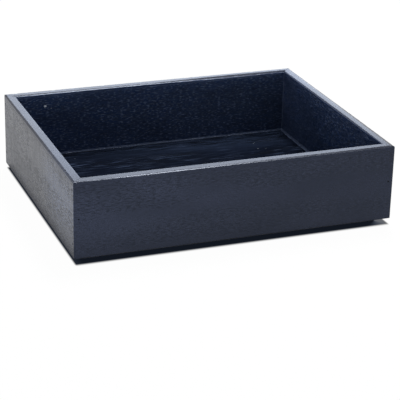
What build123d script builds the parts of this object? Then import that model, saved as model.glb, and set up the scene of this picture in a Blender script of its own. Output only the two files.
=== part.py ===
"""Open-topped display box of stained boards, standing on a recessed stacking plinth.

Four mitred side boards are glued into a frame round a housed floor panel, and cross-pinned with brads at
the corners. Four battens under the floor form a plinth that plugs into the open top of a like box below.

Millimetres. +X runs along the front to the right, +Y to the back, +Z up. The origin is the centre of the
footprint, on the surface that the plinth stands on.
"""

import os

from build123d import *

# Side boards
box_length = 400.0  # over the end boards, along X
box_width = 320.0  # over the front and back boards, along Y
board_height = 94.0
board_thickness = 12.0
arris_radius = 1.5  # the glued-up frame is eased wherever a hand can touch it

# Floor panel, housed in a groove all round
floor_thickness = 6.0
floor_rise = 4.5  # from the boards' lower edge up to the panel's underside
groove_depth = 5.0
groove_play = 0.5  # room at the bottom of the groove for the panel to swell

# Plinth of battens under the floor
plinth_projection = 7.0  # how far the plinth reaches below the boards
plinth_clearance = 2.0  # to the inner faces of the boards, in this box and in the one below
batten_width = 20.0
batten_arris = 1.0

# T-headed brads of flat wire, punched a little below the surface
brad_thickness = 1.1
brad_shank_width = 1.3
brad_head_width = 2.0
brad_head_height = 1.0
brad_point_length = 1.5
brad_punch_depth = 0.6
brad_play = 0.03  # all round the shank and the head
corner_brad_length = 28.0
plinth_brad_length = 14.0

# Where the brads go
face_brad_rise = 49.0  # in the front and back faces, above the boards' lower edge
end_brad_rises = (17.0, 83.0)  # the same, in the two end faces
long_batten_brads = 4
short_batten_brads = 3
batten_brad_inset = 30.0  # from the end of a batten to its first brad

# Sizes that follow from these
inner_length = box_length - 2 * board_thickness
inner_width = box_width - 2 * board_thickness
boards_bottom = plinth_projection
floor_underside = boards_bottom + floor_rise
plinth_length = inner_length - 2 * plinth_clearance
plinth_width = inner_width - 2 * plinth_clearance
short_batten_length = plinth_width - 2 * batten_width
long_batten_y = (plinth_width - batten_width) / 2
short_batten_x = (plinth_length - batten_width) / 2


# ---- Brads and their holes ----


def brad(length):
    """One flat brad along Z. Its T head spans X, looks up +Z and lies punched below the origin."""
    head_top = -brad_punch_depth
    head_bottom = head_top - brad_head_height
    tip = head_top - length
    with BuildPart() as flat_brad:
        with BuildSketch(Plane.XZ):
            with BuildLine():
                Polyline(
                    (0, head_top),
                    (brad_head_width / 2, head_top),
                    (brad_head_width / 2, head_bottom),
                    (brad_shank_width / 2, head_bottom),
                    (brad_shank_width / 2, tip + brad_point_length),
                    (0, tip),
                    close=True,
                )
            make_face()
            mirror(about=Plane.YZ)
        extrude(amount=brad_thickness / 2, both=True)
    return flat_brad.part


def cut_brad_hole(brad_length):
    """Cut the stepped hole that a brad makes at each current location, down its -Z."""
    steps = [
        (brad_head_width, brad_head_height),
        (brad_shank_width, brad_length),
    ]
    for width, height in steps:
        Box(
            width + 2 * brad_play,
            brad_thickness + 2 * brad_play,
            brad_punch_depth + height,
            align=(Align.CENTER, Align.CENTER, Align.MAX),
            mode=Mode.SUBTRACT,
        )


# The brads of a mitre cross: one comes in through the front or back face, two through the end face.
# Each runs down the middle of the board that it is driven into, with its head along the grain.
pin_line_x = (box_length - board_thickness) / 2
pin_line_y = (box_width - board_thickness) / 2
corner_brad_seats = []
for side_x in (-1, 1):
    for side_y in (-1, 1):
        face_entry = (side_x * pin_line_x, side_y * box_width / 2, boards_bottom + face_brad_rise)
        corner_brad_seats.append(Plane(face_entry, x_dir=(1, 0, 0), z_dir=(0, side_y, 0)))
        for rise in end_brad_rises:
            end_entry = (side_x * box_length / 2, side_y * pin_line_y, boards_bottom + rise)
            corner_brad_seats.append(Plane(end_entry, x_dir=(0, 1, 0), z_dir=(side_x, 0, 0)))

# The plinth's brads come up through the battens into the floor panel
long_batten_pitch = (plinth_length - 2 * batten_brad_inset) / (long_batten_brads - 1)
short_batten_pitch = (short_batten_length - 2 * batten_brad_inset) / (short_batten_brads - 1)
plinth_brad_seats = [
    Plane(spot.position, x_dir=(1, 0, 0), z_dir=(0, 0, -1))
    for spot in [
        *GridLocations(long_batten_pitch, 2 * long_batten_y, long_batten_brads, 2),
        *GridLocations(2 * short_batten_x, short_batten_pitch, 2, short_batten_brads),
    ]
]

# ---- Side boards ----

# The frame as it stands glued up: grooved, eased all round and holed by its brads
with BuildPart() as glued_frame:
    with BuildSketch(Plane.XY.offset(boards_bottom)):
        Rectangle(box_length, box_width)
        Rectangle(inner_length, inner_width, mode=Mode.SUBTRACT)
    extrude(amount=board_height)
    rim_edges = glued_frame.faces().sort_by(Axis.Z)[-1].edges()
    lower_edges = glued_frame.faces().sort_by(Axis.Z)[0].outer_wire().edges()
    corner_edges = glued_frame.edges().filter_by(Axis.Z).sort_by_distance((0, 0, 0))[-4:]
    fillet(rim_edges + lower_edges + corner_edges, arris_radius)
    with BuildSketch(Plane.XY.offset(floor_underside)):
        Rectangle(inner_length + 2 * groove_depth, inner_width + 2 * groove_depth)
    extrude(amount=floor_thickness, mode=Mode.SUBTRACT)
    with Locations(*corner_brad_seats):
        cut_brad_hole(corner_brad_length)


def mitre_plane(side_x, side_y, facing):
    """The upright plane of one corner's mitre, with its normal towards the board that is kept."""
    corner = (side_x * box_length / 2, side_y * box_width / 2, 0)
    return Plane(origin=corner, z_dir=facing)


# Each board is the stretch of the frame between the mitres at its two ends
with BuildPart() as front_board:
    add(glued_frame.part)
    split(bisect_by=mitre_plane(-1, -1, (1, -1, 0)), keep=Keep.TOP)
    split(bisect_by=mitre_plane(1, -1, (-1, -1, 0)), keep=Keep.TOP)
front_board.part.label = "front_board"

with BuildPart() as back_board:
    add(glued_frame.part)
    split(bisect_by=mitre_plane(-1, 1, (1, 1, 0)), keep=Keep.TOP)
    split(bisect_by=mitre_plane(1, 1, (-1, 1, 0)), keep=Keep.TOP)
back_board.part.label = "back_board"

with BuildPart() as left_board:
    add(glued_frame.part)
    split(bisect_by=mitre_plane(-1, -1, (-1, 1, 0)), keep=Keep.TOP)
    split(bisect_by=mitre_plane(-1, 1, (-1, -1, 0)), keep=Keep.TOP)
left_board.part.label = "left_board"

with BuildPart() as right_board:
    add(glued_frame.part)
    split(bisect_by=mitre_plane(1, -1, (1, 1, 0)), keep=Keep.TOP)
    split(bisect_by=mitre_plane(1, 1, (1, -1, 0)), keep=Keep.TOP)
right_board.part.label = "right_board"

# ---- Floor ----

# One panel whose edges stand in the boards' grooves
panel_tongue = groove_depth - groove_play
with BuildPart() as floor_panel:
    with BuildSketch(Plane.XY.offset(floor_underside)):
        Rectangle(inner_length + 2 * panel_tongue, inner_width + 2 * panel_tongue)
    extrude(amount=floor_thickness)
    with Locations(*plinth_brad_seats):
        cut_brad_hole(plinth_brad_length)
floor_panel.part.label = "floor_panel"

# ---- Plinth ----


def plinth_batten(length_x, length_y, centre):
    """One batten up against the floor panel, its lower edges eased, holed by the brads that it takes."""
    with BuildPart() as batten:
        with BuildSketch():
            with Locations(centre):
                Rectangle(length_x, length_y)
        extrude(amount=floor_underside)
        fillet(batten.faces().sort_by(Axis.Z)[0].edges(), batten_arris)
        with Locations(*plinth_brad_seats):
            cut_brad_hole(plinth_brad_length)
    return batten


# The two long battens run the plinth's whole length, and the short ones stand between them
plinth_front_batten = plinth_batten(plinth_length, batten_width, (0, -long_batten_y))
plinth_front_batten.part.label = "plinth_front_batten"

plinth_back_batten = plinth_batten(plinth_length, batten_width, (0, long_batten_y))
plinth_back_batten.part.label = "plinth_back_batten"

plinth_left_batten = plinth_batten(batten_width, short_batten_length, (-short_batten_x, 0))
plinth_left_batten.part.label = "plinth_left_batten"

plinth_right_batten = plinth_batten(batten_width, short_batten_length, (short_batten_x, 0))
plinth_right_batten.part.label = "plinth_right_batten"

# ---- The brads in their holes ----

corner_brad = brad(corner_brad_length)
with BuildPart() as corner_brads:
    with Locations(*corner_brad_seats):
        add(corner_brad)
corner_brads.part.label = "corner_brads"

plinth_brad = brad(plinth_brad_length)
with BuildPart() as plinth_brads:
    with Locations(*plinth_brad_seats):
        add(plinth_brad)
plinth_brads.part.label = "plinth_brads"

# ---- One STEP file per piece ----

pieces = [
    front_board,
    back_board,
    left_board,
    right_board,
    floor_panel,
    plinth_front_batten,
    plinth_back_batten,
    plinth_left_batten,
    plinth_right_batten,
    corner_brads,
    plinth_brads,
]
os.makedirs("parts", exist_ok=True)
for piece in pieces:
    export_step(piece.part, f"parts/{piece.part.label}.step")
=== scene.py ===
"""Looks of an open-topped display box of black-stained ash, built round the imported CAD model.

Lengths are in millimetres and become metres where a mesh is made. X runs along the front to the right,
Y to the back, Z up, and the box stands on Z = 0.
"""

import math

import bpy
import numpy as np
from mathutils import Matrix, Vector


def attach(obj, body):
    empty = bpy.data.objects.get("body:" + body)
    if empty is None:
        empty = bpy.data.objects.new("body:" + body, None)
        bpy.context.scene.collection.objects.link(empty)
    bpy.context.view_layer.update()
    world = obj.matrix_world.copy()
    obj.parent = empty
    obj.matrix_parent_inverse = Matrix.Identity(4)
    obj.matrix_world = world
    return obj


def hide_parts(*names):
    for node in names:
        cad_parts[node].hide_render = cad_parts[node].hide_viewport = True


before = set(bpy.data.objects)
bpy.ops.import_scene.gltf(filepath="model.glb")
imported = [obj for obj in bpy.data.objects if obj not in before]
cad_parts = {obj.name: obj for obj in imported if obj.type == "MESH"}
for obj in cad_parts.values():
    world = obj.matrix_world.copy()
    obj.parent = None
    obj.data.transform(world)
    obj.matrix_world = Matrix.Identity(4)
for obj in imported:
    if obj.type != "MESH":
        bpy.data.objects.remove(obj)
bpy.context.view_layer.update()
scene = bpy.context.scene
scene.view_settings.view_transform = "Standard"

# ---- Camera ----
# It stands about two metres off with a long lens, so that the box's far edges shrink only a little, and
# looks down on the box from a little left of its front.

MM = 0.001
camera_place = (-640.6, -1704.5, 745.4)
camera_turn = math.radians(-20.971)  # round the box, from straight in front
camera_rise = math.radians(22.457)  # of the line from the box up to the camera
camera_tilt = math.radians(1.41)  # round the line of sight

lens = bpy.data.cameras.new("camera")
lens.sensor_width = 36.0
lens.lens = 139.64
camera = bpy.data.objects.new("camera", lens)
scene.collection.objects.link(camera)
scene.camera = camera
backward = Vector(
    (
        math.sin(camera_turn) * math.cos(camera_rise),
        -math.cos(camera_turn) * math.cos(camera_rise),
        math.sin(camera_rise),
    )
)
level = Vector((math.cos(camera_turn), math.sin(camera_turn), 0.0))
upward = backward.cross(level)
across = math.cos(camera_tilt) * level + math.sin(camera_tilt) * upward
upward = backward.cross(across)
turned = Matrix((across, upward, backward)).transposed().to_4x4()
camera.matrix_world = Matrix.Translation(Vector(camera_place) * MM) @ turned

# ---- Side boards ----
# Four 12 mm boards of ash, planed, grooved for the floor, mitred and glued into a frame, then eased by
# hand along every outside edge, stained black and given one thin coat of satin lacquer. The stain has
# sunk into the open pores, and the sanding has left the edges wavy, with small dents and chips.

box_length, box_width = 400.0, 320.0
board_thickness = 12.0
board_low, board_high = 7.0, 101.0
groove_depth = 5.0
groove_low, groove_high = 11.5, 17.5  # as thick as the floor panel


def linear(hex_colour):
    """An sRGB hex colour as linear RGBA: c / 12.92 below 0.04045, else ((c + 0.055) / 1.055) ^ 2.4."""
    srgb = np.array([int(hex_colour[i : i + 2], 16) for i in (1, 3, 5)]) / 255
    light = np.where(srgb <= 0.04045, srgb / 12.92, ((srgb + 0.055) / 1.055) ** 2.4)
    return (*light.tolist(), 1.0)


def add_node(tree, kind, inputs=None, **settings):
    """Add a node with its settings. An input that is another node's output is linked, any other is set."""
    made = tree.nodes.new(kind)
    for name, value in settings.items():
        setattr(made, name, value)
    for name, value in (inputs or {}).items():
        if isinstance(value, bpy.types.NodeSocket):
            tree.links.new(value, made.inputs[name])
        else:
            made.inputs[name].default_value = value
    return made


def stained_ash(name, turn, shift, deep, even, thin_and_glint, gloss, dash, fleck, relief, board=None, painted_light=None):
    """Planed ash, stained black: short open pores in bands, raised grain between them, soft plane ripples.

    Ash takes the stain unevenly. It sinks into the pores (deep) and stays thinner on the raised dense wood
    than on the rest (even), and a lacquered face has a satin sheen that the pores break up. The pale colour
    given for the raised wood stands both for that thinner stain and for painted glints on the raised grain.
    turn and shift place the grain, which runs along X before it is turned. gloss is the range of the
    roughness. dash and fleck are the length and the width of a pore and of a raised spot as drawn, and
    relief multiplies their height. board is the axis across a board, the place of its inner face on it, the
    height of its rim and the colour inside: a lighter, bluer stain that is painted light on the inner faces,
    where the grain was never smoothed, while the rim was sanded flat. The last argument is the middle and
    the half sizes of an oval of painted light, and the lighter colour painted there.
    """
    material = bpy.data.materials.new(name)
    material.use_nodes = True
    tree = material.node_tree
    tree.nodes.clear()

    place = add_node(tree, "ShaderNodeTexCoord").outputs["Object"]
    grain = add_node(
        tree,
        "ShaderNodeMapping",
        {"Vector": place, "Rotation": (0.0, 0.0, turn), "Location": shift},
    ).outputs["Vector"]

    # The grain's layers: how long a spot is along the grain and how wide across it, in millimetres, then the
    # noise's detail, roughness and distortion. A flat-sawn board shows its growth rings as bands some 30 mm
    # wide, stain dries in clouds the size of a hand, and planing by hand leaves soft ripples 15 mm apart.
    # Real pores are 0.3 mm wide, and are drawn over 1 mm wide so that they show.
    layers = []
    for (spot_length, spot_width), detail, roughness, distortion in (
        ((260.0, 34.0), 1.0, 0.4, 0.4),
        (dash, 1.0, 0.5, 0.3),
        (fleck, 1.0, 0.5, 0.0),
        ((95.0, 38.0), 2.0, 0.5, 0.0),
        ((15.0, 60.0), 1.0, 0.4, 0.0),
    ):
        per_spot = (1 / (spot_length * MM), 1 / (spot_width * MM), 1 / (spot_width * MM))
        spots = add_node(tree, "ShaderNodeVectorMath", {0: grain, 1: per_spot}, operation="MULTIPLY")
        noise = add_node(
            tree,
            "ShaderNodeTexNoise",
            {
                "Vector": spots.outputs["Vector"],
                "Scale": 1.0,
                "Detail": detail,
                "Roughness": roughness,
                "Distortion": distortion,
            },
        )
        layers.append(noise.outputs["Fac"])
    rings, pores, raised, clouds, ripples = layers

    # Smooth steps make crisp spots of the soft noise. Between the bands they keep 0.3 of their strength.
    rings, pores, raised, cloud_share = (
        add_node(
            tree,
            "ShaderNodeMapRange",
            {"Value": layer, "From Min": low, "From Max": high, "To Min": least, "To Max": most},
            interpolation_type="SMOOTHSTEP",
        ).outputs["Result"]
        for layer, low, high, least, most in (
            (rings, 0.40, 0.56, 0.3, 1.0),
            (pores, 0.48, 0.60, 0.0, 1.0),
            (raised, 0.52, 0.68, 0.0, 1.0),
            (clouds, 0.35, 0.70, 0.0, 0.35),
        )
    )

    coats = []  # each a share and the colour that it blends in, the first coat first
    raised_share, pore_share = 0.9, 1.0
    if board:
        # inner is 1 on the inner face, and unsanded is 1 below the rim and next to nothing on it
        axis, inner_face, rim_height, inside = board
        parts = add_node(tree, "ShaderNodeSeparateXYZ", {0: place}).outputs
        off_middle = add_node(tree, "ShaderNodeMath", {0: parts[axis]}, operation="ABSOLUTE").outputs[0]
        inner, unsanded = (
            add_node(
                tree,
                "ShaderNodeMapRange",
                {
                    "Value": value,
                    "From Min": low * MM,
                    "From Max": high * MM,
                    "To Min": 1.0,
                    "To Max": least,
                },
                interpolation_type="SMOOTHSTEP",
            ).outputs["Result"]
            for value, low, high, least in (
                (off_middle, inner_face + 0.3, inner_face + 1.5, 0.0),
                (parts["Z"], rim_height - 4.6, rim_height - 2.6, 0.05),
            )
        )
        # Outside, the pale raised grain was sanded down nearly to nothing. Inside, it stands out all over as
        # pale specks, which are partly painted glints.
        raised_share, pore_share, ring_share = (
            add_node(
                tree, "ShaderNodeMath", {0: inner, 1: change, 2: outside}, operation="MULTIPLY_ADD"
            ).outputs[0]
            for change, outside in ((0.77, 0.08), (-0.30, 0.80), (0.9, 0.0))
        )
        pores, raised, ripples = (
            add_node(tree, "ShaderNodeMath", {0: layer, 1: unsanded}, operation="MULTIPLY").outputs[0]
            for layer in (pores, raised, ripples)
        )
        rings = add_node(tree, "ShaderNodeMath", {0: rings, 1: ring_share}, operation="MAXIMUM").outputs[0]
        # the inside colour is a lighter, bluer stain: painted light on the inner faces
        coats.append((inner, inside))
    pores, raised = (
        add_node(tree, "ShaderNodeMath", {0: layer, 1: rings}, operation="MULTIPLY").outputs[0]
        for layer in (pores, raised)
    )
    # an oval of painted light: a lighter colour blended in where more light should fall
    if painted_light:
        middle, half_sizes, painted_light_colour = painted_light
        offset = add_node(
            tree, "ShaderNodeVectorMath", {0: place, 1: tuple(c * MM for c in middle)}, operation="SUBTRACT"
        ).outputs["Vector"]
        per_size = tuple(1 / (size * MM) for size in half_sizes)
        offset = add_node(
            tree, "ShaderNodeVectorMath", {0: offset, 1: per_size}, operation="MULTIPLY"
        ).outputs["Vector"]
        far = add_node(tree, "ShaderNodeVectorMath", {0: offset}, operation="LENGTH").outputs["Value"]
        oval = add_node(
            tree,
            "ShaderNodeMapRange",
            {"Value": far, "From Min": 0.15, "From Max": 1.0, "To Min": 1.0, "To Max": 0.0},
            interpolation_type="SMOOTHSTEP",
        ).outputs["Result"]
        coats.append((oval, painted_light_colour))
    # the pale coat on the raised grain is both thinner stain and painted glints
    raised_glint_paint, pore_paint = (
        add_node(tree, "ShaderNodeMath", {0: layer, 1: share}, operation="MULTIPLY").outputs[0]
        for layer, share in ((raised, raised_share), (pores, pore_share))
    )
    coats += [(raised_glint_paint, thin_and_glint), (cloud_share, deep), (pore_paint, deep)]
    wood = linear(even)
    for share, coat in coats:
        wood = add_node(
            tree, "ShaderNodeMix", {0: share, 6: wood, 7: linear(coat)}, data_type="RGBA"
        ).outputs[2]

    gloss_low, gloss_high = gloss
    pore_roughness = 0.09
    shine = gloss_low
    for layer, change in ((clouds, gloss_high - gloss_low), (pores, pore_roughness)):
        shine = add_node(
            tree, "ShaderNodeMath", {0: layer, 1: change, 2: shine}, operation="MULTIPLY_ADD"
        ).outputs[0]

    # Heights in millimetres
    height = 0.0
    for layer, rise in ((pores, -0.10 * relief), (raised, 0.08 * relief), (ripples, 0.65 * relief)):
        height = add_node(
            tree, "ShaderNodeMath", {0: layer, 1: rise, 2: height}, operation="MULTIPLY_ADD"
        ).outputs[0]
    bumps = add_node(tree, "ShaderNodeBump", {"Height": height, "Strength": 1.0, "Distance": MM})

    surface = add_node(
        tree,
        "ShaderNodeBsdfPrincipled",
        {
            "Base Color": wood,
            "Roughness": shine,
            "IOR": 1.40,
            "Specular Tint": linear("#dae7ff"),
            "Normal": bumps.outputs["Normal"],
        },
    )
    add_node(tree, "ShaderNodeOutputMaterial", {"Surface": surface.outputs[0]})
    return material


def ripple(place, lengths, seed):
    """A wavy line between -1 and 1: the mean of one sine for each wavelength, each with its own phase."""
    phases = np.random.default_rng(seed).uniform(0, 2 * np.pi, len(lengths))
    waves = [np.sin(2 * np.pi * place / wave + phase) for wave, phase in zip(lengths, phases)]
    return np.mean(waves, axis=0)


def stations(low, high, coarse, fine):
    """Places coarse apart from low to high, and those in fine, less the coarse ones close to a fine one."""
    even = np.linspace(low, high, int(round((high - low) / coarse)) + 1)
    fine = fine[(fine > low) & (fine < high)]
    clear = np.min(np.abs(even[:, None] - fine), axis=1) > coarse * 0.35
    return np.unique(np.concatenate([even[clear], fine, [low, high]]).round(4))


# The grid has a line at each of these distances from an edge, and from a brad's middle along the grain
edge_lines = np.array([0.12, 0.3, 0.5, 0.75, 1.05, 1.4, 1.8, 2.3, 2.9, 3.6])
slot_lines = np.array([0.5, 1.0, 1.16, 1.4, 1.8, 2.4, 3.0])
slot_half = (1.1, 0.7)  # the hole that a brad's T head leaves, along the grain and across it


def board_outline(brad_heights):
    """The ring of one board's section, clockwise from outside below.

    Its rows are (depth from the outer face, height): up the outer face, in across the rim, down the inner
    face, into the groove and out again, and back along the lower edge.
    """
    fine_heights = [board_low + edge_lines, board_high - edge_lines]
    for height in brad_heights:
        lines = slot_lines * slot_half[1] / slot_half[0]
        fine_heights += [height - lines, [height], height + lines]
    rim_lines = np.concatenate([edge_lines, board_thickness - edge_lines])
    face = stations(board_low, board_high, coarse=3.0, fine=np.concatenate(fine_heights))
    rim = stations(0, board_thickness, coarse=1.2, fine=rim_lines)
    inside = stations(groove_high, board_high, coarse=4.0, fine=board_high - edge_lines)[::-1]
    under = stations(0, board_thickness, coarse=2.0, fine=edge_lines)[::-1]
    groove_floor = board_thickness - groove_depth
    ring = [
        np.column_stack([np.zeros_like(face), face]),
        np.column_stack([rim, np.full_like(rim, board_high)])[1:],
        np.column_stack([np.full_like(inside, board_thickness), inside])[1:],
        [[groove_floor, groove_high], [groove_floor, groove_low], [board_thickness, groove_low]],
        np.column_stack([under, np.full_like(under, board_low)])[:-1],
    ]
    return np.concatenate(ring)


mitre_spread = 30.0  # over this length the grid's columns lean over to the mitre
upright_easing = 0.85  # of the upright corners and the lower edges
easing_power = 1.25  # 1 would make a flat bevel of the easing, and 2 a round
easing_waver = 0.09  # how far the hand that eased it wavered, as a share of the easing
calm_length = 12.0  # the waver dies out over this length before a mitre
face_waver = (0.03, 0.02)  # how far the planed faces lie below the true ones, and by how much that varies
nick_reach = 1.5  # how far a nick spreads round the rim's edge
punch_depth = 0.64
press_depth, press_reach = 0.22, 1.1  # how the punch pressed the wood in round a brad's hole
hairline_depth, hairline_width = 0.10, 0.3  # how far the glue has sunk in the mitres, and how widely
nearly_zero = 1e-9


def board_skin(half_length, brads, nicks, outer_easing, inner_easing, seed):
    """One board as a grid: its section's ring carried along it, and cut off at 45 degrees at both ends.

    Every edge is eased by one rule. Near a face, q is 1 at the face and falls to 0 at the easing's reach
    behind it. A point that has more than one q above 0 is drawn back until the sum of every q^1.25 is 1,
    which turns a sharp edge into a flat, soft-cornered bevel. On the rim the reach is run across the rim
    and drop down the board, and elsewhere it is upright_easing. A dent, hole or hairline of depth g takes
    g off the reach at that point.
    """
    ring = board_outline([z for _, z in brads])
    fine = [edge_lines - half_length, half_length - edge_lines]
    for place, _ in brads:
        fine += [place - slot_lines, [place], place + slot_lines]
    columns = stations(-half_length, half_length, coarse=1.25, fine=np.concatenate(fine))

    # s is a column's place along the board before it leans, u after it, d the depth from the outer face
    s, d = np.meshgrid(columns, ring[:, 0], indexing="ij")
    z = np.broadcast_to(ring[:, 1], s.shape)
    end = half_length - np.abs(s)
    u = s - np.sign(s) * d * np.clip(1 - end / mitre_spread, 0, 1)
    to_end = half_length - np.abs(u)
    outer = d < board_thickness / 2

    # How far the edges are eased along the board, a little wavy, and the same in both boards at a mitre.
    # The rim's own easing holds to 3 mm below the rim and gives way to the upright one by 8 mm.
    calm = np.clip(to_end / calm_length, 0, 1)
    wavy = 1 + easing_waver * calm * ripple(u, (61, 37, 19, 11), seed)
    marks = np.linspace(-half_length, half_length, 5)
    near_rim = np.clip(1.6 - (board_high - z) / 5, 0, 1)
    outer_run, outer_drop = (np.interp(u, marks, reaches) for reaches in outer_easing)
    inner_run, inner_drop = (np.interp(u, marks, reaches) for reaches in inner_easing)
    outer_run = upright_easing + (outer_run - upright_easing) * near_rim
    run = np.where(outer, outer_run, inner_run) * wavy
    drop = np.where(outer, outer_drop, inner_drop) * wavy

    # Depths below the surface
    dent = face_waver[0] + face_waver[1] * ripple(u + 0.7 * z, (83, 47, 29), seed + 1)
    to_rim_edge = np.hypot(d, board_high - z)
    for place, length, depth in nicks:
        bite = np.exp(-(((u - place) / length) ** 4)) * np.exp(-((to_rim_edge / nick_reach) ** 2))
        dent = dent + depth * bite
    for place, height in brads:
        out_u = np.abs(u - place) - slot_half[0]
        out_z = np.abs(z - height) - slot_half[1]
        hole = (out_u < 0.01) & (out_z < 0.01)
        away = np.hypot(np.maximum(out_u, 0), np.maximum(out_z, 0))
        pressed = press_depth * np.exp(-((away / press_reach) ** 2))
        dent = np.where(d < 0.01, np.where(hole, punch_depth, dent + pressed), dent)
    to_mitre = np.clip(1 - to_end / hairline_width + d / hairline_width, 0, 1)
    dent = dent + hairline_depth * to_mitre * (end < 0.4)

    # The outer half is eased against the outer face, the ends, the rim and the lower edge, and the inner
    # half against the inner face and the rim
    reaches = np.stack([run, np.full_like(u, upright_easing), drop, np.full_like(u, upright_easing)])
    behind = np.stack([np.where(outer, d, board_thickness - d), to_end, board_high - z, z - board_low])
    q = np.maximum(1 - behind / reaches, 0)
    q[1] = np.where(outer, q[1], 0)
    q[3] = np.where(outer, q[3], 0)
    total = np.sum(q**easing_power, axis=0) ** (1 / easing_power)
    reach = np.sum(q * reaches, axis=0) / np.maximum(np.sum(q, axis=0), nearly_zero)
    pull = np.minimum(1, (1 - dent / np.maximum(reach, nearly_zero)) / np.maximum(total, nearly_zero))
    pull = np.where(np.max(q, axis=0) > 1 - 1e-6, pull, 1)
    back_face, back_end, back_top, back_low = reaches * q * (1 - pull)
    d = d + np.where(outer, back_face, -back_face)
    u = u - np.sign(s) * back_end
    z = z - back_top + back_low
    return np.stack([u, d, z], axis=-1)


def ring_faces(columns, ring):
    """Faces of a grid that is closed round its ring and capped at both ends, all pointing outwards."""
    i, j = np.meshgrid(np.arange(columns - 1), np.arange(ring), indexing="ij")
    after = (j + 1) % ring
    quads = np.stack([i * ring + j, (i + 1) * ring + j, (i + 1) * ring + after, i * ring + after], axis=-1)
    first = list(range(ring))
    last = [(columns - 1) * ring + k for k in reversed(range(ring))]
    return quads.reshape(-1, 4).tolist() + [first, last]


def make_piece(name, points, faces, material):
    """Put a closed skin into a mesh, as a piece of the box with its place in its vertices."""
    mesh = bpy.data.meshes.new(name)
    mesh.from_pydata((points.reshape(-1, 3) * MM).tolist(), [], faces)
    mesh.polygons.foreach_set("use_smooth", [True] * len(mesh.polygons))
    mesh.set_sharp_from_angle(angle=math.radians(34))
    mesh.materials.append(material)
    piece = bpy.data.objects.new(name, mesh)
    scene.collection.objects.link(piece)
    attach(piece, "root")
    return piece


def random_nicks(half_length, count, seed):
    """Small dents at random places, 8 mm clear of a board's ends, as (place, half length, depth)."""
    rng = np.random.default_rng(seed)
    places = rng.uniform(-half_length + 8, half_length - 8, count)
    return list(zip(places, rng.uniform(0.6, 2.6, count), rng.uniform(0.06, 0.28, count)))


# The front board's dents, as (place, half length, depth)
front_nicks = [
    (-195.5, 2.0, 0.30),
    (-188.0, 1.6, 0.22),
    (-167.5, 1.7, 0.42),
    (-156.0, 3.0, 0.15),
    (-139.0, 1.2, 0.25),
    (-123.0, 2.4, 0.28),
    (-111.5, 2.2, 0.45),
    (-96.0, 1.4, 0.20),
    (-78.0, 2.6, 0.16),
    (-61.0, 1.2, 0.22),
]
face_brad_height = 56.0
end_brad_heights = (24.0, 90.0)
pin_inset = board_thickness / 2

# Quarter turns about Z from the front board, the half length, how far out the outer face is, and the dents.
# Then the easing of the outer and the inner edge of the rim, each as its run across the rim and its drop
# down the board, at five places from one end to the other. Last, an oval of painted light on the board:
# its middle, half sizes and lighter colour.
board_plan = {
    "front_board": (
        (0, box_length / 2, box_width / 2, front_nicks),
        ((1.7, 2.4, 2.3, 2.9, 3.8), (1.15, 1.0, 1.0, 1.1, 1.1)),
        ((0.4, 0.3, 0.3, 0.4, 0.6), (0.3, 0.3, 0.3, 0.4, 0.6)),
        ((-190.0, -160.0, 64.0), (300.0, 240.0, 80.0), "#2c3143"),
    ),
    "right_board": (
        (1, box_width / 2, box_length / 2, random_nicks(160, 12, 5)),
        ((4.6, 4.8, 4.8, 4.4, 3.6), (1.3, 1.1, 1.1, 1.0, 0.9)),
        ((0.8, 1.6, 1.7, 1.6, 1.4), (0.6, 1.5, 1.6, 1.4, 1.0)),
        ((190.0, 150.0, 48.0), (160.0, 150.0, 84.0), "#3e4c6e"),
    ),
    "back_board": (
        (2, box_length / 2, box_width / 2, random_nicks(200, 16, 6)),
        ((0.6, 0.5, 0.5, 0.5, 0.6), (0.4, 0.3, 0.3, 0.3, 0.4)),
        ((5.4, 5.8, 2.3, 2.8, 3.2), (1.7, 1.9, 1.05, 1.35, 1.6)),
        ((195.0, 160.0, 54.0), (300.0, 200.0, 62.0), "#2f3c56"),
    ),
    "left_board": (
        (3, box_width / 2, box_length / 2, random_nicks(160, 12, 7)),
        ((2.0, 2.2, 2.3, 2.3, 2.2), (1.1, 1.6, 1.8, 1.8, 1.6)),
        ((1.2, 0.6, 0.6, 0.6, 0.5), (0.8, 0.6, 0.6, 0.6, 0.4)),
        ((-200.0, -110.0, 64.0), (130.0, 120.0, 62.0), "#38445f"),
    ),
}
for node, ((quarter, half_length, reach, nicks), outer_easing, inner_easing, painted_light) in board_plan.items():
    pin_line = half_length - pin_inset
    heights = end_brad_heights if quarter % 2 else (face_brad_height,)
    brads = [(side * pin_line, height) for side in (-1, 1) for height in heights]
    skin = board_skin(half_length, brads, nicks, outer_easing, inner_easing, seed=20 + quarter)
    u, d, z = np.moveaxis(skin, -1, 0)
    cosine, sine = (1, 0, -1, 0)[quarter], (0, 1, 0, -1)[quarter]
    out = d - reach
    points = np.stack([u * cosine - out * sine, u * sine + out * cosine, z], axis=-1)
    stain = stained_ash(
        f"stained_ash_{node}",
        turn=math.radians(90) * (quarter % 2),
        shift=(0.39 + 0.3 * quarter, 0.17 * quarter, 0.036 + 0.05 * quarter),
        deep="#0a1020",
        even="#1c2030",
        thin_and_glint="#66738f",
        gloss=(0.23, 0.31),
        dash=(6.0, 1.3),
        fleck=(4.6, 1.6),
        relief=1.0,
        # the last colour is the lighter inside stain, painted light on the inner faces
        board=("X" if quarter % 2 else "Y", reach - board_thickness, board_high, "#243454"),
        painted_light=painted_light,
    )
    board = make_piece(f"stained_{node}", points, ring_faces(*skin.shape[:2]), stain)
    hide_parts(node)

# ---- Floor panel ----
# One 6 mm panel of ash whose edges stand in the boards' grooves, with its grain along the box. The stain
# stood on it and dried darker than on the boards, in long streaks along the grain. Its pale streaks are
# partly painted glints, and an oval of painted light lies near the back board, where that board shades it.

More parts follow.
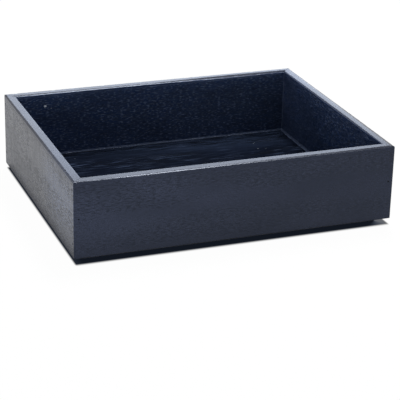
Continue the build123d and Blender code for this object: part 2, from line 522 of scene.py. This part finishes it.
panel_stain = stained_ash(
    "stained_ash_floor_panel",
    turn=0.0,
    shift=(0.11, 0.18, 0.31),
    deep="#070b14",
    even="#0e1422",
    thin_and_glint="#414d66",
    gloss=(0.17, 0.23),
    dash=(30.0, 2.0),
    fleck=(30.0, 2.2),
    relief=0.26,
    # an oval of painted light near the back board, where the board shades the floor
    painted_light=((110.0, 160.0, 17.5), (340.0, 85.0, 10.0), "#2d384e"),
)
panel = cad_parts["floor_panel"]
panel.data.materials.clear()
panel.data.materials.append(panel_stain)

# ---- Glue beads ----
# Hide glue that came out of the groove and the mitres when the frame was cramped up. It was wiped down to
# a thin rounded bead along the floor and up each inside corner, and stained and lacquered with the box.

inside_half = (box_length / 2 - board_thickness, box_width / 2 - board_thickness)
bead_bite = 0.15  # how far a bead reaches into the wood behind it


def bead_section(leg_out, leg_up):
    """The ring of a rounded bead in the corner of two faces, as rows of (out along one, up the other).

    It runs in along the first face, round a quarter of the ellipse that has both legs as its half axes,
    from where it meets the first face to where it meets the second, and back through the wood.
    """
    turn = np.linspace(0, np.pi / 2, 6)
    out = leg_out[:, None] * np.cos(turn)
    up = leg_up[:, None] * np.sin(turn)
    behind = np.full_like(leg_out, -bead_bite)
    out = np.column_stack([leg_out, out, behind, behind])
    up = np.column_stack([behind, up, leg_up, behind])
    return out, up


def closed_ring_faces(rows, ring):
    """Faces of a grid that is closed both ways."""
    i, j = np.meshgrid(np.arange(rows), np.arange(ring), indexing="ij")
    below, after = (i + 1) % rows, (j + 1) % ring
    quads = np.stack([i * ring + j, below * ring + j, below * ring + after, i * ring + after], axis=-1)
    return quads.reshape(-1, 4).tolist()


# Round the floor: each side's points with the direction inwards, and at a corner the sum of both sides'
corner_signs = np.array([(-1, -1), (1, -1), (1, 1), (-1, 1)], float)
side_inwards = np.array([(0, 1), (-1, 0), (0, -1), (1, 0)], float)
side_steps = 180
share = np.linspace(0, 1, side_steps, endpoint=False)[:, None]
starts = corner_signs * inside_half
sides = zip(starts, np.roll(starts, -1, axis=0))
walk = np.concatenate([start * (1 - share) + stop * share for start, stop in sides])
inwards = np.repeat(side_inwards, side_steps, axis=0)
inwards[::side_steps] += np.roll(side_inwards, 1, axis=0)
along = np.arange(len(walk)) * 2.0  # the steps are about 2 mm long

# The bead reaches about 4 mm out over the floor and 0.8 mm up the boards, a little unevenly
leg_out = 4.0 + 0.9 * ripple(along, (190, 83, 41, 17), 31)
leg_up = 0.8 + 0.3 * ripple(along, (150, 61, 29, 13), 32)
out, up = bead_section(leg_out, leg_up)
floor_bead = np.stack(
    [
        walk[:, None, 0] + out * inwards[:, None, 0],
        walk[:, None, 1] + out * inwards[:, None, 1],
        groove_high + up,
    ],
    axis=-1,
)[:, ::-1]

# The glue is painted pale, partly because hide glue takes little stain and partly as a painted highlight
# along the bead. It dried in lumps some 4 mm long, which are bumped and painted with pale glints.
lump_size = 3.85
glue = bpy.data.materials.new("hide_glue_painted_highlight")
glue.use_nodes = True
tree = glue.node_tree
tree.nodes.clear()
place = add_node(tree, "ShaderNodeTexCoord").outputs["Object"]
lumps_and_glints = add_node(
    tree, "ShaderNodeTexNoise", {"Vector": place, "Scale": 1 / (lump_size * MM), "Detail": 2.0}
).outputs["Fac"]
# the pale end of this mix is the painted highlight and glint colour
tone = add_node(
    tree, "ShaderNodeMix", {0: lumps_and_glints, 6: linear("#2a3550"), 7: linear("#76839f")}, data_type="RGBA"
).outputs[2]
bumps = add_node(tree, "ShaderNodeBump", {"Height": lumps_and_glints, "Strength": 1.0, "Distance": 0.3 * MM})
surface = add_node(
    tree,
    "ShaderNodeBsdfPrincipled",
    {
        "Base Color": tone,
        "Roughness": 0.35,
        "IOR": 1.52,
        "Specular Tint": linear("#eaf0ff"),
        "Normal": bumps.outputs["Normal"],
    },
)
add_node(tree, "ShaderNodeOutputMaterial", {"Surface": surface.outputs[0]})
make_piece("glue_bead_floor", floor_bead, closed_ring_faces(*floor_bead.shape[:2]), glue)

# Up the inside corners, from the floor to just under the rim, thinning out at the top. There it reaches
# about 0.4 mm out along both boards.
rise = np.linspace(groove_high - bead_bite, board_high - 2.0, 60)
corner_names = ("front_left", "front_right", "back_right", "back_left")
for number, (name, (sign_x, sign_y)) in enumerate(zip(corner_names, corner_signs)):
    taper = np.clip((board_high - 1.0 - rise) / 6, 0.15, 1)
    leg_x = taper * (0.45 + 0.2 * ripple(rise, (47, 23, 11), 40 + number))
    leg_y = taper * (0.4 + 0.15 * ripple(rise, (53, 19, 9), 50 + number))
    out_x, out_y = bead_section(leg_x, leg_y)
    corner_bead = np.stack(
        [
            sign_x * (inside_half[0] - out_x),
            sign_y * (inside_half[1] - out_y),
            np.broadcast_to(rise[:, None], out_x.shape),
        ],
        axis=-1,
    )
    if sign_x * sign_y > 0:
        corner_bead = corner_bead[:, ::-1]
    make_piece(f"glue_bead_{name}", corner_bead, ring_faces(*corner_bead.shape[:2]), glue)

# ---- Pale specks ----
# Crumbs of a pale filler that stuck to the wet lacquer: two on the back board inside, near its left end, and
# a few small ones on the floor.

# Filler of chalk and glue dries matt and nearly white
speck_filler = bpy.data.materials.new("pale_filler")
speck_filler.use_nodes = True
filler_surface = speck_filler.node_tree.nodes["Principled BSDF"]
filler_surface.inputs["Base Color"].default_value = linear("#d0d4dc")
filler_surface.inputs["Roughness"].default_value = 0.7

crumb_levels, crumb_corners = 7, 9


def crumb(middle, half_sizes, seed):
    """A rough ellipsoid as rings of points up its Z, with each point's radius up to 18 percent off."""
    rng = np.random.default_rng(seed)
    turn = -np.arange(crumb_corners) * 2 * np.pi / crumb_corners
    lift = np.linspace(-0.97, 0.97, crumb_levels)[:, None]
    spread = np.sqrt(1 - lift**2) * (1 + 0.18 * rng.uniform(-1, 1, (crumb_levels, crumb_corners)))
    rings = [spread * np.cos(turn), spread * np.sin(turn), np.broadcast_to(lift, spread.shape)]
    return np.array(middle) + np.stack(rings, axis=-1) * np.array(half_sizes)


# Each crumb's middle and half sizes
crumb_plan = [
    ((-149.0, inside_half[1], 83.9), (1.9, 0.6, 1.4)),
    ((-141.0, inside_half[1], 80.5), (0.5, 0.2, 0.4)),
]
for x, y in ((127, 86), (137, 83), (128, 105), (-114, 144), (-117, 121)):
    crumb_plan.append(((x, y, groove_high), (0.42, 0.42, 0.2)))
crumbs = [crumb(*spot, 60 + number) for number, spot in enumerate(crumb_plan)]
points_per_crumb = crumb_levels * crumb_corners
crumb_faces = [
    [point + points_per_crumb * number for point in face]
    for number in range(len(crumbs))
    for face in ring_faces(crumb_levels, crumb_corners)
]
make_piece("pale_specks", np.stack(crumbs), crumb_faces, speck_filler)

# ---- Plinth ----
# Four 20 mm battens of the same wood under the floor panel, two long ones with two short ones between them.
# They are glued up against the panel and bradded through into it, and were brushed with stain but left
# without lacquer.

for node, turn in (
    ("plinth_front_batten", 0.0),
    ("plinth_back_batten", 0.0),
    ("plinth_left_batten", math.radians(90)),
    ("plinth_right_batten", math.radians(90)),
):
    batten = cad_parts[node]
    batten.data.materials.clear()
    batten.data.materials.append(
        stained_ash(
            f"stained_ash_{node}",
            turn=turn,
            shift=(0.07, 0.41, 0.02),
            deep="#0c0e14",
            even="#13161f",
            thin_and_glint="#1d212c",
            gloss=(0.55, 0.70),
            dash=(6.0, 1.2),
            fleck=(5.0, 1.3),
            relief=1.0,
        )
    )

# ---- Brads ----
# Flat steel brads with T heads: twelve cross-pin the mitres from outside, punched a little below the
# surface, and fourteen hold the plinth.

# Steel that was stained over with the box is matt and nearly black, with blotches about 1 mm across
blotch_size = 1.1
brad_steel = bpy.data.materials.new("blackened_brad_steel")
brad_steel.use_nodes = True
tree = brad_steel.node_tree
tree.nodes.clear()
place = add_node(tree, "ShaderNodeTexCoord").outputs["Object"]
blotches = add_node(
    tree, "ShaderNodeTexNoise", {"Vector": place, "Scale": 1 / (blotch_size * MM), "Detail": 2.0}
).outputs["Fac"]
tone = add_node(
    tree, "ShaderNodeMix", {0: blotches, 6: linear("#07080b"), 7: linear("#15171c")}, data_type="RGBA"
).outputs[2]
surface = add_node(
    tree, "ShaderNodeBsdfPrincipled", {"Base Color": tone, "Roughness": 0.6, "Specular IOR Level": 0.1}
)
add_node(tree, "ShaderNodeOutputMaterial", {"Surface": surface.outputs[0]})
for node in ("corner_brads", "plinth_brads"):
    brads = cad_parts[node]
    brads.data.materials.clear()
    brads.data.materials.append(brad_steel)

# ---- Stage ----
# A white table top in a white room, with one softbox overhead, behind on the right, and a larger one low
# down behind. Places and sizes of the table and the lamps are in metres.

table_half = 1.3
table_sink = 0.0001  # keeps its face clear of the plinth's
table_mesh = bpy.data.meshes.new("table_top")
corners = [(x * table_half, y * table_half, -table_sink) for x, y in ((-1, -1), (1, -1), (1, 1), (-1, 1))]
table_mesh.from_pydata(corners, [], [(0, 1, 2, 3)])
table_top = bpy.data.objects.new("table_top", table_mesh)
scene.collection.objects.link(table_top)

# White paper that glows evenly to pure white, with the box's shadow painted on it
paper = bpy.data.materials.new("white_paper")
paper.use_nodes = True
tree = paper.node_tree
tree.nodes.clear()
rays = add_node(tree, "ShaderNodeLightPath").outputs
on_table = add_node(tree, "ShaderNodeTexCoord").outputs["Object"]


def painted_shadow_edge(half_sizes, softness, least, middle_y=0.0):
    """The soft edge of a painted shadow of the box: least inside a rectangle and 1 outside it, by a smooth
    step.

    half_sizes are the middle of that step and softness its half width, both along X and along Y. The
    rectangle's own middle lies at middle_y.
    """
    half, soft = np.array(half_sizes) * MM, np.array(softness) * MM
    away = on_table
    for operation, values in (
        ("SUBTRACT", {1: (0.0, middle_y * MM, 0.0)}),
        ("ABSOLUTE", {}),
        ("MULTIPLY_ADD", {1: (*(1 / soft).tolist(), 0.0), 2: (*(1 - half / soft).tolist(), 0.0)}),
        ("MAXIMUM", {1: (0.0, 0.0, 0.0)}),
        ("LENGTH", {}),
    ):
        step = add_node(tree, "ShaderNodeVectorMath", {0: away, **values}, operation=operation)
        away = step.outputs["Value" if operation == "LENGTH" else "Vector"]
    return add_node(
        tree,
        "ShaderNodeMapRange",
        {"Value": away, "From Min": 0.0, "From Max": 2.0, "To Min": least, "To Max": 1.0},
        interpolation_type="SMOOTHSTEP",
    ).outputs["Result"]


# Painted shadow: under the boards' overhang the paper is painted nearly black. Painted light comes in low
# under the right end, stopped along a fan of lines from the plinth's two right corners, and the shadow is
# painted a little lighter at the left end.
fan_centre = (186.0, 145.0)  # a millimetre inside the plinth's corner
table_parts = add_node(tree, "ShaderNodeSeparateXYZ", {0: on_table}).outputs
left_of_corner = add_node(
    tree, "ShaderNodeMath", {0: fan_centre[0] * MM, 1: table_parts["X"]}, operation="SUBTRACT"
).outputs[0]
past_corner = table_parts["Y"]
for operation, value in (("ABSOLUTE", 0.0), ("SUBTRACT", fan_centre[1] * MM), ("MAXIMUM", MM)):
    past_corner = add_node(
        tree, "ShaderNodeMath", {0: past_corner, 1: value}, operation=operation
    ).outputs[0]
painted_light_fan = add_node(tree, "ShaderNodeMath", {0: left_of_corner, 1: past_corner}, operation="DIVIDE").outputs[0]
painted_shadow_level = add_node(
    tree,
    "ShaderNodeMapRange",
    {"Value": painted_light_fan, "From Min": -1.2, "From Max": 1.3, "To Min": 0.15, "To Max": 0.014},
    interpolation_type="SMOOTHSTEP",
).outputs["Result"]
painted_left_end_light = add_node(
    tree,
    "ShaderNodeMapRange",
    {
        "Value": table_parts["X"],
        "From Min": -201 * MM,
        "From Max": -188 * MM,
        "To Min": 0.025,
        "To Max": 0.0,
    },
).outputs["Result"]
painted_shadow_level = add_node(tree, "ShaderNodeMath", {0: painted_shadow_level, 1: painted_left_end_light}, operation="ADD").outputs[0]
painted_shadow_seen = add_node(
    tree, "ShaderNodeMix", {0: painted_shadow_edge((198.2, 160.8), (1.6, 3.4), 0.0), 2: painted_shadow_level, 3: 1.0}
).outputs[0]

# In reflections the table shows a wider painted shadow round the box's foot
painted_foot_shadow = painted_shadow_edge((208.5, 169.0), (3.0, 3.0), 0.25)
painted_halo_shadow = painted_shadow_edge((222.0, 186.0), (24.0, 24.0), 0.78, 22.0)
painted_mirrored_shadow = add_node(tree, "ShaderNodeMath", {0: painted_foot_shadow, 1: painted_halo_shadow}, operation="MULTIPLY").outputs[0]
painted_shadow = add_node(tree, "ShaderNodeMix", {0: rays["Is Glossy Ray"], 2: painted_shadow_seen, 3: painted_mirrored_shadow}).outputs[0]

# The paper glows for the rays that see it, with the painted shadow in it, and lights the box as plain paper
# does for all others
shown = rays["Is Camera Ray"]
for kind in ("Is Glossy Ray", "Is Transmission Ray"):
    shown = add_node(tree, "ShaderNodeMath", {0: shown, 1: rays[kind]}, operation="MAXIMUM").outputs[0]
faint = add_node(tree, "ShaderNodeMath", {0: painted_shadow, 1: 0.03}, operation="MULTIPLY").outputs[0]
lit = add_node(tree, "ShaderNodeMix", {0: shown, 2: 0.85, 3: faint}).outputs[0]
bright = add_node(tree, "ShaderNodeMath", {0: painted_shadow, 1: 0.975}, operation="MULTIPLY").outputs[0]
bright = add_node(tree, "ShaderNodeMath", {0: bright, 1: shown}, operation="MULTIPLY").outputs[0]
# the painted shadow is tinted blue where it is deepest
tint = add_node(
    tree, "ShaderNodeMath", {0: painted_shadow, 1: 5.0}, operation="MULTIPLY", use_clamp=True
).outputs[0]
tint = add_node(
    tree, "ShaderNodeMix", {0: tint, 6: linear("#aac8ff"), 7: linear("#ffffff")}, data_type="RGBA"
).outputs[2]
sheet = add_node(tree, "ShaderNodeBsdfDiffuse", {"Color": lit}).outputs[0]
glow = add_node(tree, "ShaderNodeEmission", {"Color": tint, "Strength": bright}).outputs[0]
both = add_node(tree, "ShaderNodeAddShader", {0: sheet, 1: glow}).outputs[0]
add_node(tree, "ShaderNodeOutputMaterial", {"Surface": both})
table_mesh.materials.append(paper)

world = bpy.data.worlds.new("studio")
scene.world = world
world.use_nodes = True
tree = world.node_tree
tree.nodes.clear()
rays = add_node(tree, "ShaderNodeLightPath").outputs
background_seen = rays["Is Camera Ray"]
for kind in ("Is Glossy Ray", "Is Transmission Ray"):
    background_seen = add_node(
        tree, "ShaderNodeMath", {0: background_seen, 1: rays[kind]}, operation="MAXIMUM"
    ).outputs[0]

# The room is white up to where its unlit ceiling begins, and its walls give more light low down
sky_place = add_node(tree, "ShaderNodeTexCoord").outputs["Generated"]
height = add_node(tree, "ShaderNodeSeparateXYZ", {0: sky_place}).outputs["Z"]
wall_light = add_node(
    tree,
    "ShaderNodeMapRange",
    {"Value": height, "From Min": 0.0, "From Max": 0.28, "To Min": 2.9, "To Max": 0.35},
).outputs["Result"]
room = add_node(
    tree,
    "ShaderNodeMapRange",
    {"Value": height, "From Min": 0.40, "From Max": 0.50, "To Min": 1.0, "To Max": 0.35},
    interpolation_type="SMOOTHSTEP",
).outputs["Result"]
room = add_node(tree, "ShaderNodeMix", {0: rays["Is Camera Ray"], 2: room, 3: 1.0}).outputs[0]
fill = add_node(
    tree, "ShaderNodeBackground", {"Color": linear("#f6faff"), "Strength": wall_light}
).outputs[0]
white = add_node(tree, "ShaderNodeBackground", {"Color": linear("#ffffff"), "Strength": room}).outputs[0]
sky = add_node(tree, "ShaderNodeMixShader", {0: background_seen, 1: fill, 2: white}).outputs[0]
add_node(tree, "ShaderNodeOutputWorld", {"Surface": sky})


def softbox(name, place, aim, width, height, radiance, colour):
    """A rectangular softbox at place, facing aim, that gives off radiance evenly over its face."""
    lamp = bpy.data.lights.new(name, "AREA")
    lamp.shape = "RECTANGLE"
    lamp.size, lamp.size_y = width, height
    lamp.energy = radiance * math.pi * width * height
    lamp.color = linear(colour)[:3]
    made = bpy.data.objects.new(name, lamp)
    scene.collection.objects.link(made)
    made.location = place
    made.rotation_mode = "QUATERNION"
    made.rotation_quaternion = (Vector(aim) - Vector(place)).to_track_quat("-Z", "Y")
    made.visible_camera = False


softbox("overhead_softbox", (0.46, 0.56, 1.8), (0.46, 0.56, 0.0), 0.47, 0.75, 28.0, "#ffffff")
softbox("rear_softbox", (0.82, 2.14, 0.74), (0.0, 0.0, 0.1), 1.25, 0.78, 2.8, "#dae8ff")
